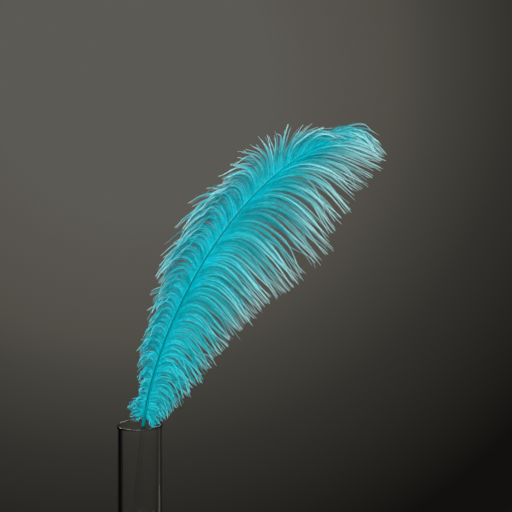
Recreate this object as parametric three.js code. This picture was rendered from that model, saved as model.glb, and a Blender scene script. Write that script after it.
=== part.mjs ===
// Ostrich feather standing in a narrow clear-glass cylinder vase.
// Millimetres, +Z up. X runs to the side the feather bends to, and -Y is the side its grooved
// face looks to. The origin is the middle of the vase's flat underside.
import * as THREE from 'three';

// Vase: a straight tube of glass on a thick base, with a lip that flares a little.
const VASE_HEIGHT = 150;
const VASE_RADIUS = 25;
const LIP_FLARE = 0.9;
const LIP_HEIGHT = 4;
const LIP_ROUNDING = 1.1;
const WALL_TOP = 3.2;
const WALL_LOW = 4.2;
const BASE_THICKNESS = 12;
const FOOT_ROUNDING = 2.5;
const FLOOR_ROUNDING = 9;
const VASE_SEGMENTS = 56;
const ARC_DIVISIONS = 3;

// Shaft: the line of its middle above the vase's mouth is one Bezier curve, and below the mouth
// the bare quill runs straight on to the glass floor.
const MOUTH = new THREE.Vector3(4, 0, VASE_HEIGHT);
const LOWER_PULL = new THREE.Vector3(16, 0, VASE_HEIGHT + 113);
const UPPER_PULL = new THREE.Vector3(118, -8, VASE_HEIGHT + 302);
const SHAFT_TIP = new THREE.Vector3(234, -24, VASE_HEIGHT + 324);
const SHAFT_RADIUS = 2.1;
const SHAFT_TIP_RADIUS = 0.35;
const SHAFT_TAPER = 0.85;
const QUILL_END_RADIUS = 1.1;
const QUILL_POINT_LENGTH = 22;
const GROOVE_DEPTH_SHARE = 0.68;
const GROOVE_LENGTH_SHARE = 0.94;
const SHAFT_STATIONS = 48;
const QUILL_STATIONS = 6;
const SECTION_SIDES = 12;

// Vanes: thin curved sheets. A rib is [share of the shaft's length above the mouth, rib length,
// angle from the shaft where it starts, angle where it ends].
const GAP = 0.3;
const VANE_THICKNESS = 1.4;
const VANE_EDGE_THICKNESS = 0.9;
const VANE_STATIONS = 44;
const RIB_STEPS = 9;
const CUP_SHARE = 0.17;
const CUP_CURVE = 1.6;
const LEFT_RIBS = [
  [0.012, 16, 52, 100],
  [0.06, 20, 42, 122],
  [0.19, 27, 38, 136],
  [0.36, 40, 38, 146],
  [0.50, 53, 40, 148],
  [0.64, 63, 43, 148],
  [0.73, 59, 47, 136],
  [0.78, 46, 48, 88],
  [0.82, 40, 44, 34],
  [0.88, 43, 32, 8],
  [0.94, 42, 18, 5],
  [1.00, 44, 4, 4],
];
const RIGHT_RIBS = [
  [0.012, 20, 52, 92],
  [0.06, 33, 42, 112],
  [0.19, 62, 30, 112],
  [0.36, 90, 26, 104],
  [0.56, 104, 30, 98],
  [0.74, 113, 18, 80],
  [0.88, 89, 12, 60],
  [1.00, 45, 4, 22],
];
const LEFT_TURN = { middle: 0.46, spread: 0.13 };
const RIGHT_TURN = { middle: 0.27, spread: 0.11 };

const FRONT = new THREE.Vector3(0, -1, 0);
const rachis = new THREE.CubicBezierCurve3(MOUTH, LOWER_PULL, UPPER_PULL, SHAFT_TIP);
const rachisLength = rachis.getLength();
const mouthDirection = rachis.getTangentAt(0);
const quillLength = (MOUTH.z - BASE_THICKNESS - GAP - QUILL_END_RADIUS * mouthDirection.x)
  / mouthDirection.z;

const glass = new THREE.MeshStandardMaterial({
  color: 0xdfe6e4, roughness: 0.03, metalness: 0, transparent: true, opacity: 0.35,
});
const dyedHorn = new THREE.MeshStandardMaterial({ color: 0x1c97a3, roughness: 0.45, metalness: 0 });
const dyedDown = new THREE.MeshStandardMaterial({ color: 0x2aa2ae, roughness: 0.9, metalness: 0 });

/** The shaft's middle, its direction, its front and its right side at a length above the mouth. */
function shaftFrame(length) {
  const share = THREE.MathUtils.clamp(length / rachisLength, 0, 1);
  const centre = length < 0
    ? MOUTH.clone().addScaledVector(mouthDirection, length)
    : rachis.getPointAt(share);
  const along = rachis.getTangentAt(share);
  const front = FRONT.clone().addScaledVector(along, -FRONT.dot(along)).normalize();
  const right = along.clone().cross(front);
  return { centre, along, front, right };
}

/** The shaft's half width: full at the mouth, fine at the tip, pointed at the quill's end. */
function shaftRadius(length) {
  if (length < 0) {
    const fromEnd = (quillLength + length) / QUILL_POINT_LENGTH;
    return THREE.MathUtils.lerp(QUILL_END_RADIUS, SHAFT_RADIUS, Math.min(1, Math.sqrt(fromEnd)));
  }
  const share = Math.min(1, length / rachisLength);
  return THREE.MathUtils.lerp(SHAFT_RADIUS, SHAFT_TIP_RADIUS, share ** SHAFT_TAPER);
}

/** A closed mesh through rings of points, each end closed straight across from side to side. */
function loftedSolid(rings) {
  const sides = rings[0].length;
  const faces = [];
  for (let ring = 0; ring + 1 < rings.length; ring += 1) {
    for (let side = 0; side < sides; side += 1) {
      const a = ring * sides + side;
      const b = ring * sides + (side + 1) % sides;
      faces.push(a, b, b + sides, a, b + sides, a + sides);
    }
  }
  const last = (rings.length - 1) * sides;
  for (let low = 0; low < sides / 2 - 1; low += 1) {
    const high = sides - 1 - low;
    faces.push(low, high, low + 1, low + 1, high, high - 1);
    faces.push(last + low, last + low + 1, last + high, last + low + 1, last + high - 1, last + high);
  }
  const geometry = new THREE.BufferGeometry().setFromPoints(rings.flat());
  geometry.setIndex(faces);
  geometry.computeVertexNormals();
  return geometry;
}

/** The vase: its half outline turned about the upright axis. */
function vaseGeometry() {
  const outline = new THREE.Path();
  const lipRadius = VASE_RADIUS + LIP_FLARE;
  const lipBore = lipRadius - WALL_TOP;
  const lipRound = VASE_HEIGHT - LIP_ROUNDING;
  const lipBottom = VASE_HEIGHT - LIP_HEIGHT;
  const boreTop = VASE_RADIUS - WALL_TOP;
  const boreLow = VASE_RADIUS - WALL_LOW;
  outline.moveTo(0, 0);
  outline.lineTo(VASE_RADIUS - FOOT_ROUNDING, 0);
  outline.absarc(VASE_RADIUS - FOOT_ROUNDING, FOOT_ROUNDING, FOOT_ROUNDING, -Math.PI / 2, 0, false);
  outline.lineTo(VASE_RADIUS, lipBottom - LIP_HEIGHT);
  outline.quadraticCurveTo(VASE_RADIUS, lipBottom, lipRadius, lipRound);
  outline.absarc(lipRadius - LIP_ROUNDING, lipRound, LIP_ROUNDING, 0, Math.PI / 2, false);
  outline.absarc(lipBore + LIP_ROUNDING, lipRound, LIP_ROUNDING, Math.PI / 2, Math.PI, false);
  outline.quadraticCurveTo(boreTop, lipBottom, boreTop, lipBottom - LIP_HEIGHT);
  outline.lineTo(boreLow, BASE_THICKNESS + FLOOR_ROUNDING);
  outline.absarc(boreLow - FLOOR_ROUNDING, BASE_THICKNESS + FLOOR_ROUNDING, FLOOR_ROUNDING,
    0, -Math.PI / 2, true);
  outline.lineTo(0, BASE_THICKNESS);
  const geometry = new THREE.LatheGeometry(outline.getPoints(ARC_DIVISIONS), VASE_SEGMENTS);
  return geometry.rotateX(Math.PI / 2);
}

/** One ring round the shaft: a rounded section with a groove down its front. */
function shaftRing(length) {
  const { centre, front, right } = shaftFrame(length);
  const radius = shaftRadius(length);
  const grooved = length > 0 && length < rachisLength * GROOVE_LENGTH_SHARE;
  const ring = [];
  for (let side = 0; side < SECTION_SIDES; side += 1) {
    const angle = (side / SECTION_SIDES) * Math.PI * 2;
    const pull = grooved && side === 0 ? 1 - GROOVE_DEPTH_SHARE : 1;
    ring.push(centre.clone()
      .addScaledVector(front, Math.cos(angle) * radius * pull)
      .addScaledVector(right, Math.sin(angle) * radius));
  }
  return ring;
}

/** The shaft: quill and rachis in one. */
function shaftGeometry() {
  const rings = [];
  for (let step = 0; step < QUILL_STATIONS; step += 1) {
    const share = (step / QUILL_STATIONS) ** 2; // closest together at the pointed end
    rings.push(shaftRing(-quillLength * (1 - share)));
  }
  for (let step = 0; step <= SHAFT_STATIONS; step += 1) {
    rings.push(shaftRing((step / SHAFT_STATIONS) * rachisLength));
  }
  return loftedSolid(rings);
}

/** A rib's length and angles at a share of the shaft, between the listed ribs. */
function ribAt(ribs, share) {
  let upper = ribs.findIndex((rib) => rib[0] >= share);
  upper = upper < 1 ? Math.min(1, ribs.length - 1) : upper;
  const low = ribs[upper - 1];
  const high = ribs[upper];
  const blend = THREE.MathUtils.clamp((share - low[0]) / (high[0] - low[0]), 0, 1);
  return low.map((value, column) => THREE.MathUtils.lerp(value, high[column], blend));
}

/** How much of its turn a rib has made at a share of its own length. */
function turned(share, turn) {
  const rise = (at) => 1 / (1 + Math.exp((turn.middle - at) / turn.spread));
  return (rise(share) - rise(0)) / (rise(1) - rise(0));
}

/** The middle line of one rib, from beside the shaft out to the barbs' tips. */
function ribLine(ribs, turn, hand, share) {
  const { centre, along, right } = shaftFrame(share * rachisLength);
  const [, length, startAngle, endAngle] = ribAt(ribs, share);
  const root = shaftRadius(share * rachisLength) + GAP;
  const point = centre.clone().addScaledVector(right, hand * root);
  const heading = Math.atan2(along.z, along.x);
  const line = [point.clone()];
  for (let step = 0; step < RIB_STEPS; step += 1) {
    const middle = (step + 0.5) / RIB_STEPS;
    const bend = THREE.MathUtils.lerp(startAngle, endAngle, turned(middle, turn));
    const angle = heading - hand * THREE.MathUtils.degToRad(bend);
    point.x += Math.cos(angle) * length / RIB_STEPS;
    point.z += Math.sin(angle) * length / RIB_STEPS;
    const reached = point.clone();
    reached.y -= CUP_SHARE * length * ((step + 1) / RIB_STEPS) ** CUP_CURVE;
    line.push(reached);
  }
  return line;
}

/** A vane: ribs joined side by side, with a front and a back face. */
function vaneGeometry(ribs, turn, hand) {
  const first = ribs[0][0];
  const rings = [];
  for (let station = 0; station <= VANE_STATIONS; station += 1) {
    const share = THREE.MathUtils.lerp(first, 1, station / VANE_STATIONS);
    const line = ribLine(ribs, turn, hand, share);
    const face = (side) => line.map((point, step) => {
      const thickness = THREE.MathUtils.lerp(VANE_THICKNESS, VANE_EDGE_THICKNESS, step / RIB_STEPS);
      return point.clone().addScaledVector(FRONT, side * thickness / 2);
    });
    const ring = [...face(1), ...face(-1).reverse()];
    rings.push(hand > 0 ? ring : ring.reverse());
  }
  return loftedSolid(rings);
}

/** A named mesh of one sub-part. */
function part(name, geometry, material) {
  const mesh = new THREE.Mesh(geometry, material);
  mesh.name = name;
  return mesh;
}

const group = new THREE.Group();
group.add(part('vase', vaseGeometry(), glass));
group.add(part('shaft', shaftGeometry(), dyedHorn));
group.add(part('left_vane', vaneGeometry(LEFT_RIBS, LEFT_TURN, -1), dyedDown));
group.add(part('right_vane', vaneGeometry(RIGHT_RIBS, RIGHT_TURN, 1), dyedDown));

export default group;
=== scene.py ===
"""Looks of a dyed ostrich feather that stands in a clear glass cylinder vase.

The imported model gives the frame. The barbs and their barbules replace the two plain vane
solids, and a finely lofted shaft and a smoothly turned vase replace the faceted ones.
Lengths are in metres, with the vase's axis on Z and the camera looking along +Y.
"""

import logging
import math
from dataclasses import asdict, astuple, dataclass, field, fields
from enum import Enum

import bpy
import numpy as np
from mathutils import Color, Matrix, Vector

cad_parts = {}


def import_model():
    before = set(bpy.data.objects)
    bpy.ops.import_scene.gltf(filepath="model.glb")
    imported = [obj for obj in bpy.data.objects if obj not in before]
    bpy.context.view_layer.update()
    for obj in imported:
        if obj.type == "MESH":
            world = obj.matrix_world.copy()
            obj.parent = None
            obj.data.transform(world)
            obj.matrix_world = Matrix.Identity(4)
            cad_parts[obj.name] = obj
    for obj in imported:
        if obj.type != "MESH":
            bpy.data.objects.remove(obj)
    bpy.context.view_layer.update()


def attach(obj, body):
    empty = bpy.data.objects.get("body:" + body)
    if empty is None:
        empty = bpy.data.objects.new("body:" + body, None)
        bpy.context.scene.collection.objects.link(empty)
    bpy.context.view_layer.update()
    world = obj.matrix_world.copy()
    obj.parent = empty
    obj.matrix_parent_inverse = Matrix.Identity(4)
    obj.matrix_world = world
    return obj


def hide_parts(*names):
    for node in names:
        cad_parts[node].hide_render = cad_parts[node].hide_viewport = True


LOG = logging.getLogger("ostrich_feather")
MM = 0.001
ROOT_BODY = "root"
QUILL_GAP = 0.7 * MM

Array = np.ndarray
Face = tuple[int, ...]
Corner = tuple[float, float]
Place = tuple[float, float, float]


class Hand(Enum):
    """A side of the shaft, seen from its grooved front. The value is its sign along +X."""

    LEFT = -1
    RIGHT = 1


class Slot(Enum):
    """The record's material slots."""

    GLASS = "clear_glass"
    SHAFT = "dyed_shaft"
    BARBS = "dyed_barbs"


# ---------------------------------------------------------------- small helpers


def linear_colour(code: str) -> tuple[float, float, float, float]:
    """Turns an sRGB colour to linear RGBA.

    Args:
        code: a # and six hex digits.

    Returns:
        Linear red, green, blue and an alpha of 1.
    """
    channels = [int(code[at:at + 2], 16) / 255 for at in (1, 3, 5)]
    return *Color(channels).from_srgb_to_scene_linear(), 1.0


def empty_tree(owner: bpy.types.Material | bpy.types.World) -> bpy.types.NodeTree:
    """Gives a material or a world an empty node tree.

    Args:
        owner: the material or the world.

    Returns:
        Its tree.
    """
    owner.use_nodes = True
    owner.node_tree.nodes.clear()
    return owner.node_tree


def add_node(tree: bpy.types.NodeTree, kind: str, settings: dict | None = None,
             values: dict | None = None, links: dict | None = None) -> bpy.types.Node:
    """Adds a node to a tree with its settings, its plain socket values and its links.

    Args:
        tree: the node tree.
        kind: the node's type name.
        settings: property name to value.
        values: input name or index to a plain value.
        links: input name or index to the output socket that feeds it.

    Returns:
        The new node.
    """
    node = tree.nodes.new(kind)
    for name, value in (settings or {}).items():
        setattr(node, name, value)
    for key, value in (values or {}).items():
        node.inputs[key].default_value = value
    for key, source in (links or {}).items():
        tree.links.new(source, node.inputs[key])
    return node


def smooth_step(low: float, high: float, value: Array) -> Array:
    """Rises smoothly from 0 at low to 1 at high."""
    share = np.clip((value - low) / (high - low), 0, 1)
    return share * share * (3 - 2 * share)


def link_object(name: str, data: bpy.types.ID) -> bpy.types.Object:
    """Makes an object at the origin and links it into the scene.

    Args:
        name: the object's name.
        data: its mesh, lamp or camera.

    Returns:
        The object.
    """
    thing = bpy.data.objects.new(name, data)
    bpy.context.scene.collection.objects.link(thing)
    return thing


def new_mesh_object(name: str, points: Array, faces: list[Face],
                    smooth: bool = True) -> bpy.types.Object:
    """Makes a mesh object at the origin.

    Args:
        name: the object's name.
        points: its vertices, one row each.
        faces: its faces as vertex numbers.
        smooth: whether the faces are shaded smooth.

    Returns:
        The linked object.
    """
    mesh = bpy.data.meshes.new(name)
    mesh.from_pydata([tuple(p) for p in points], [], faces)
    mesh.polygons.foreach_set("use_smooth", [smooth] * len(mesh.polygons))
    mesh.update()
    return link_object(name, mesh)


def loft(rings: Array) -> tuple[Array, list[Face]]:
    """Joins rings of points into one closed skin with a fan across each end.

    Args:
        rings: an array of rings, sides and coordinates, each ring counterclockwise seen from
            the far end.

    Returns:
        The points and the faces.
    """
    count, sides, _ = rings.shape
    faces = []
    for ring in range(count - 1):
        for side in range(sides):
            a = ring * sides + side
            b = ring * sides + (side + 1) % sides
            faces.append((a, b, b + sides, a + sides))
    near, far = count * sides, count * sides + 1
    last = (count - 1) * sides
    for side in range(sides):
        after = (side + 1) % sides
        faces.append((near, after, side))
        faces.append((far, last + side, last + after))
    points = np.vstack([rings.reshape(-1, 3), rings[0].mean(0), rings[-1].mean(0)])
    return points, faces


def turn(outline: list[Corner], sides: int) -> tuple[Array, list[Face]]:
    """Turns a half section about the upright axis into one closed skin.

    Args:
        outline: its corners as radius and height, without those on the axis.
        sides: how many sides a ring has.

    Returns:
        The points and the faces.
    """
    angle = np.arange(sides) / sides * 2 * math.pi
    return loft(np.array([[(r * math.cos(a), r * math.sin(a), z) for a in angle] for r, z in outline]))


# ---------------------------------------------------------------- finishes


@dataclass(frozen=True)
class ClearGlass:
    """Fire-polished soda-lime glass: clear, with sharp bright lines at its lip and edges.

    The swells that blowing leaves in the wall are about as wide as the tube's radius. They
    bend what shows through the wall a little, so that it looks like glass and not like air.
    """

    tint: str = "#fcfdfc"
    ior: float = 1.5
    roughness: float = 0.0
    swell: float = 26 * MM
    swell_strength: float = 0.04
    swell_height: float = 0.6 * MM

    def material(self) -> bpy.types.Material:
        """Builds the glass, with the faint unevenness that blown glass keeps.

        Returns:
            The material.
        """
        finish = bpy.data.materials.new("fire_polished_clear_glass")
        tree = empty_tree(finish)
        place = add_node(tree, "ShaderNodeTexCoord")
        waves = add_node(tree, "ShaderNodeTexNoise", values={"Scale": 1 / self.swell, "Detail": 1.0},
                         links={"Vector": place.outputs["Object"]})
        bump = add_node(tree, "ShaderNodeBump", values={
            "Strength": self.swell_strength, "Distance": self.swell_height,
        }, links={"Height": waves.outputs["Fac"]})
        shader = add_node(tree, "ShaderNodeBsdfPrincipled", values={
            "Base Color": linear_colour(self.tint),
            "Roughness": self.roughness,
            "IOR": self.ior,
            "Transmission Weight": 1.0,
        }, links={"Normal": bump.outputs["Normal"]})
        add_node(tree, "ShaderNodeOutputMaterial", links={"Surface": shader.outputs["BSDF"]})
        return finish


@dataclass(frozen=True)
class DyedBarb:
    """Feather keratin dyed turquoise in the bath: soft, matt and a little see-through.

    The barbs pale from the shaft towards their tips, where the fibres thin; the paleness there is
    partly painted light shining through and off the fine tips.
    """

    name: str
    root: str
    middle: str
    tip: str
    roughness: float
    gloss: float
    through: float
    middle_at: float = 0.4
    darkest: float = 0.58
    lightest: float = 1.34
    ior: float = 1.55

    def material(self) -> bpy.types.Material:
        """Builds the finish from the fade and tone attributes of the fibres.

        Returns:
            The material.
        """
        finish = bpy.data.materials.new(self.name)
        tree = empty_tree(finish)
        fade = add_node(tree, "ShaderNodeAttribute", {"attribute_name": "fade"})
        tone = add_node(tree, "ShaderNodeAttribute", {"attribute_name": "tone"})
        ramp = add_node(tree, "ShaderNodeValToRGB", links={"Fac": fade.outputs["Fac"]})
        stops = ramp.color_ramp.elements
        stops[0].position, stops[0].color = 0.0, linear_colour(self.root)
        stops[1].position, stops[1].color = 1.0, linear_colour(self.tip)
        stops.new(self.middle_at).color = linear_colour(self.middle)
        shade = add_node(tree, "ShaderNodeMapRange",
                         values={"To Min": self.darkest, "To Max": self.lightest},
                         links={"Value": tone.outputs["Fac"]})
        colour = add_node(tree, "ShaderNodeHueSaturation",
                          links={"Color": ramp.outputs["Color"], "Value": shade.outputs["Result"]})
        body = add_node(tree, "ShaderNodeBsdfPrincipled", values={
            "Roughness": self.roughness,
            "IOR": self.ior,
            "Specular IOR Level": self.gloss,
        }, links={"Base Color": colour.outputs["Color"]})
        glow = add_node(tree, "ShaderNodeBsdfTranslucent",
                        links={"Color": colour.outputs["Color"]})
        mix = add_node(tree, "ShaderNodeMixShader", values={0: self.through},
                       links={1: body.outputs["BSDF"], 2: glow.outputs["BSDF"]})
        add_node(tree, "ShaderNodeOutputMaterial", links={"Surface": mix.outputs["Shader"]})
        return finish


# Barbules are loose down, dull and the most see-through. The barbs' own shafts are smooth horn
# with a soft shine, and their paler colours are a painted highlight along each shaft.
BARBULE_FINISH = DyedBarb("dyed_feather_barbules", "#00cadb", "#0cb6c4", "#93d3d9",
                          roughness=0.85, gloss=0.0, through=0.3)
RAMUS_FINISH_PAINTED_HIGHLIGHT = DyedBarb("dyed_barb_shafts_painted_highlight", "#06d4e6", "#66dae5", "#b8e6ea",
                        roughness=0.6, gloss=0.12, through=0.15)


@dataclass(frozen=True)
class DyedHorn:
    """Shaft keratin, satin like a fingernail: turquoise above the mouth, clear horn below it.

    The horn's fibres make fine streaks of more and less gloss. Real ones are about 0.2 mm wide,
    too fine to show from here, so they are drawn 2.4 mm wide. The bare quill bends light little,
    as one under glass hardly shows. Heights are from the mouth.
    """

    dyed: str = "#0099a8"
    # The shaft is a darker teal just above the mouth and lightens to its full colour from 8 to 20 mm
    # above it.
    darker_low: str = "#006e78"
    # Painted shade: the groove's dark colour is partly dye pooled in it and partly painted shade of the
    # recess.
    groove: str = "#0c3a34"
    bare: str = "#f8faf4"
    streak: float = 2.4 * MM
    satin: tuple[float, float] = (0.4, 0.6)
    bare_roughness: float = 0.03
    ior: float = 1.08
    gloss: float = 0.5
    clears: tuple[float, float] = (-4 * MM, 0.0)
    dye_starts: tuple[float, float] = (-7 * MM, -3 * MM)
    lightens_over: tuple[float, float] = (8 * MM, 20 * MM)

    def material(self, mouth_height: float) -> bpy.types.Material:
        """Builds the horn.

        Args:
            mouth_height: the height of the vase's mouth, where the dye fades.

        Returns:
            The material.
        """
        finish = bpy.data.materials.new("dyed_feather_shaft_horn")
        tree = empty_tree(finish)
        place = add_node(tree, "ShaderNodeTexCoord")
        split = add_node(tree, "ShaderNodeSeparateXYZ", links={"Vector": place.outputs["Object"]})
        fade, tint, rise = (
            add_node(tree, "ShaderNodeMapRange", values={
                "From Min": mouth_height + low, "From Max": mouth_height + high,
            }, links={"Value": split.outputs["Z"]}).outputs["Result"]
            for low, high in (self.clears, self.dye_starts, self.lightens_over)
        )
        # The shaft's colour rises from the darker teal low down to the full turquoise.
        dye = add_node(tree, "ShaderNodeMix", {"data_type": "RGBA"},
                       values={6: linear_colour(self.darker_low), 7: linear_colour(self.dyed)},
                       links={"Factor": rise})
        dyed = add_node(tree, "ShaderNodeMix", {"data_type": "RGBA"},
                        values={6: linear_colour(self.bare)},
                        links={"Factor": tint, 7: dye.outputs[2]})
        groove = add_node(tree, "ShaderNodeAttribute", {"attribute_name": "groove"})
        streaks = add_node(tree, "ShaderNodeTexNoise", values={"Scale": 1 / self.streak, "Detail": 3.0},
                           links={"Vector": place.outputs["Object"]})
        # Painted shade: the groove's depth mixes in its dark colour, dye pooled there and painted shade
        # of the recess.
        colour = add_node(tree, "ShaderNodeMix", {"data_type": "RGBA"},
                          values={7: linear_colour(self.groove)},
                          links={"Factor": groove.outputs["Fac"], 6: dyed.outputs[2]})
        satin = add_node(tree, "ShaderNodeMapRange",
                         values={"To Min": self.satin[0], "To Max": self.satin[1]},
                         links={"Value": streaks.outputs["Fac"]})
        rough = add_node(tree, "ShaderNodeMix", {"data_type": "FLOAT"},
                         values={2: self.bare_roughness},
                         links={"Factor": fade, 3: satin.outputs["Result"]})
        clear = add_node(tree, "ShaderNodeMapRange", values={"To Min": 1.0, "To Max": 0.0},
                         links={"Value": fade})
        shader = add_node(tree, "ShaderNodeBsdfPrincipled", values={
            "IOR": self.ior, "Specular IOR Level": self.gloss,
        }, links={
            "Base Color": colour.outputs[2],
            "Roughness": rough.outputs[0],
            "Transmission Weight": clear.outputs["Result"],
        })
        add_node(tree, "ShaderNodeOutputMaterial", links={"Surface": shader.outputs["BSDF"]})
        return finish


@dataclass(frozen=True)
class PaintedBoard:
    """Pale painted board under the vase: matt, with the faint orange peel of a roller.

    A short-haired roller leaves bumps a little over a millimetre wide.
    """

    colour: str = "#d8d4cc"
    peel: float = 1.1 * MM
    peel_strength: float = 0.15
    peel_height: float = 0.2 * MM
    roughness: float = 0.8

    def material(self) -> bpy.types.Material:
        """Builds the paint.

        Returns:
            The material.
        """
        finish = bpy.data.materials.new("rolled_matt_paint")
        tree = empty_tree(finish)
        place = add_node(tree, "ShaderNodeTexCoord")
        grain = add_node(tree, "ShaderNodeTexNoise", values={"Scale": 1 / self.peel},
                         links={"Vector": place.outputs["Object"]})
        bump = add_node(tree, "ShaderNodeBump", values={
            "Strength": self.peel_strength, "Distance": self.peel_height,
        }, links={"Height": grain.outputs["Fac"]})
        shader = add_node(tree, "ShaderNodeBsdfPrincipled", values={
            "Base Color": linear_colour(self.colour), "Roughness": self.roughness,
        }, links={"Normal": bump.outputs["Normal"]})
        add_node(tree, "ShaderNodeOutputMaterial", links={"Surface": shader.outputs["BSDF"]})
        return finish


# ---------------------------------------------------------------- the shaft


@dataclass
class ShaftLine:
    """The line of the shaft's middle: a Bezier curve above the mouth, straight below it."""

    mouth: Place = (4 * MM, 0.0, 150 * MM)
    lower_pull: Place = (16 * MM, 0.0, 263 * MM)
    upper_pull: Place = (118 * MM, -8 * MM, 452 * MM)
    tip: Place = (234 * MM, -24 * MM, 474 * MM)
    mouth_radius: float = 2.1 * MM
    tip_radius: float = 0.35 * MM
    taper: float = 0.85
    samples: int = 2000
    length: float = field(init=False)

    def __post_init__(self) -> None:
        """Samples the curve once, so that places on it can be found by length."""
        t = np.linspace(0, 1, self.samples)[:, None]
        a, b, c, d = (np.array(p) for p in (self.mouth, self.lower_pull, self.upper_pull, self.tip))
        self._points = ((1 - t) ** 3 * a + 3 * t * (1 - t) ** 2 * b
                        + 3 * t * t * (1 - t) * c + t ** 3 * d)
        steps = np.linalg.norm(np.diff(self._points, axis=0), axis=1)
        self._reached = np.concatenate([[0.0], np.cumsum(steps)])
        self.length = float(self._reached[-1])
        slope = np.gradient(self._points, axis=0)
        self._along = slope / np.linalg.norm(slope, axis=1)[:, None]

    def centre(self, share: Array) -> Array:
        """Finds points on the line, which runs straight below the mouth.

        Args:
            share: shares of the length above the mouth, negative below it.

        Returns:
            A row for each point.
        """
        share = np.atleast_1d(share)
        at = np.clip(share, 0, 1) * self.length
        found = np.stack([np.interp(at, self._reached, c) for c in self._points.T], 1)
        return found + np.minimum(share, 0)[:, None] * self.length * self._along[0]

    def along(self, share: Array) -> Array:
        """Finds the line's directions.

        Args:
            share: shares of the length above the mouth.

        Returns:
            A row of length 1 for each.
        """
        at = np.clip(np.atleast_1d(share), 0, 1) * self.length
        found = np.stack([np.interp(at, self._reached, c) for c in self._along.T], 1)
        return found / np.linalg.norm(found, axis=1)[:, None]

    def radius(self, share: Array) -> Array:
        """The shaft's half width above the mouth."""
        at = np.clip(np.atleast_1d(share), 0, 1) ** self.taper
        return self.mouth_radius + (self.tip_radius - self.mouth_radius) * at


@dataclass
class FeatherShaft:
    """The quill and the rachis: one tapering horn tube, grooved in front above the mouth.

    The groove's place along the shaft is in shares of its length above the mouth. The groove is
    cut full within the smaller of its two shoulders and ends at the larger, both as shares of
    its half angle. The quill's rings crowd towards the mouth.
    """

    line: ShaftLine
    floor_height: float
    finish: DyedHorn = DyedHorn()
    sides: int = 28
    stations: int = 150
    quill_stations: int = 26
    quill_crowding: float = 1.5
    quill_end_radius: float = 1.1 * MM
    quill_point: float = 22 * MM
    groove_half_angle: float = 0.34
    groove_depth: float = 0.62
    groove_shoulders: tuple[float, float] = (0.3, 1.4)
    groove_starts: tuple[float, float] = (0.0, 0.06)
    groove_ends: tuple[float, float] = (0.89, 0.97)

    def _quill_radius(self, below: Array, quill_length: float) -> Array:
        """The quill's radius at depths below the mouth."""
        grown = np.sqrt(np.clip((quill_length - below) / self.quill_point, 0, 1))
        return self.quill_end_radius + (self.line.mouth_radius - self.quill_end_radius) * grown

    def build(self) -> bpy.types.Object:
        """Lofts the shaft, marks its groove and dresses it in horn.

        Returns:
            The shaft's object.
        """
        down = self.line.along(0.0)[0]
        quill_length = (self.line.mouth[2] - self.floor_height) / down[2]
        risen = (np.arange(self.quill_stations) / self.quill_stations) ** self.quill_crowding
        below = quill_length * (1 - risen)
        share = np.concatenate([-below / self.line.length, np.linspace(0, 1, self.stations)])
        centre = self.line.centre(share)
        along = self.line.along(share)
        viewer = np.array([0.0, -1.0, 0.0])
        front = viewer - along * (along @ viewer)[:, None]
        front /= np.linalg.norm(front, axis=1)[:, None]
        right = np.cross(along, front)
        radius = np.where(share < 0, self._quill_radius(-share * self.line.length, quill_length),
                          self.line.radius(share))
        angle = np.arange(self.sides) / self.sides * 2 * math.pi
        turned = np.minimum(angle, 2 * math.pi - angle)
        full, gone = (self.groove_half_angle * shoulder for shoulder in self.groove_shoulders)
        cut = smooth_step(gone, full, turned)
        there = smooth_step(*self.groove_starts, share)
        there *= 1 - smooth_step(*self.groove_ends, share)
        depth = there[:, None] * cut[None, :]
        pull = 1 - self.groove_depth * depth
        rings = centre[:, None, :] + radius[:, None, None] * (
            (np.cos(angle) * pull)[:, :, None] * front[:, None, :]
            + np.sin(angle)[None, :, None] * right[:, None, :])
        points, faces = loft(rings)
        shaft = new_mesh_object("shaft_horn", points, faces)
        # The groove's depth is kept for the horn finish, which paints the groove dark with pooled dye
        # and painted shade.
        mark = shaft.data.attributes.new("groove", "FLOAT", "POINT")
        mark.data.foreach_set("value", np.concatenate([depth.ravel(), [0.0, 0.0]]).astype(np.float32))
        shaft.data.materials.append(self.finish.material(self.line.mouth[2]))
        return shaft


# ---------------------------------------------------------------- the barbs


@dataclass(frozen=True)
class BarbHabit:
    """How the barbs grow at one place along the shaft.

    share is the place, as a share of the shaft above the mouth. start and end are angles from
    the shaft in degrees, and half of the turn between them is made at middle, within spread,
    both shares of the barb's own length.
    """

    share: float
    length: float
    start: float
    end: float
    middle: float
    spread: float


LEFT_HABITS = (
    BarbHabit(0.02, 14 * MM, 82, 104, 0.40, 0.14),
    BarbHabit(0.035, 19 * MM, 70, 106, 0.42, 0.14),
    BarbHabit(0.055, 15 * MM, 52, 122, 0.36, 0.12),
    BarbHabit(0.08, 11 * MM, 44, 140, 0.35, 0.12),
    BarbHabit(0.11, 15 * MM, 38, 152, 0.34, 0.12),
    BarbHabit(0.19, 25 * MM, 34, 162, 0.34, 0.12),
    BarbHabit(0.36, 47 * MM, 34, 170, 0.35, 0.11),
    BarbHabit(0.43, 59 * MM, 35, 173, 0.36, 0.11),
    BarbHabit(0.50, 62 * MM, 37, 176, 0.37, 0.11),
    BarbHabit(0.61, 71 * MM, 41, 178, 0.40, 0.10),
    BarbHabit(0.69, 55 * MM, 46, 172, 0.44, 0.10),
    BarbHabit(0.75, 46 * MM, 48, 130, 0.50, 0.11),
    BarbHabit(0.785, 43 * MM, 47, 60, 0.55, 0.12),
    BarbHabit(0.82, 47 * MM, 43, -4, 0.60, 0.12),
    BarbHabit(0.88, 54 * MM, 36, -46, 0.52, 0.14),
    BarbHabit(0.94, 56 * MM, 26, -62, 0.48, 0.15),
    BarbHabit(1.00, 41 * MM, 6, -70, 0.44, 0.17),
)
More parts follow.
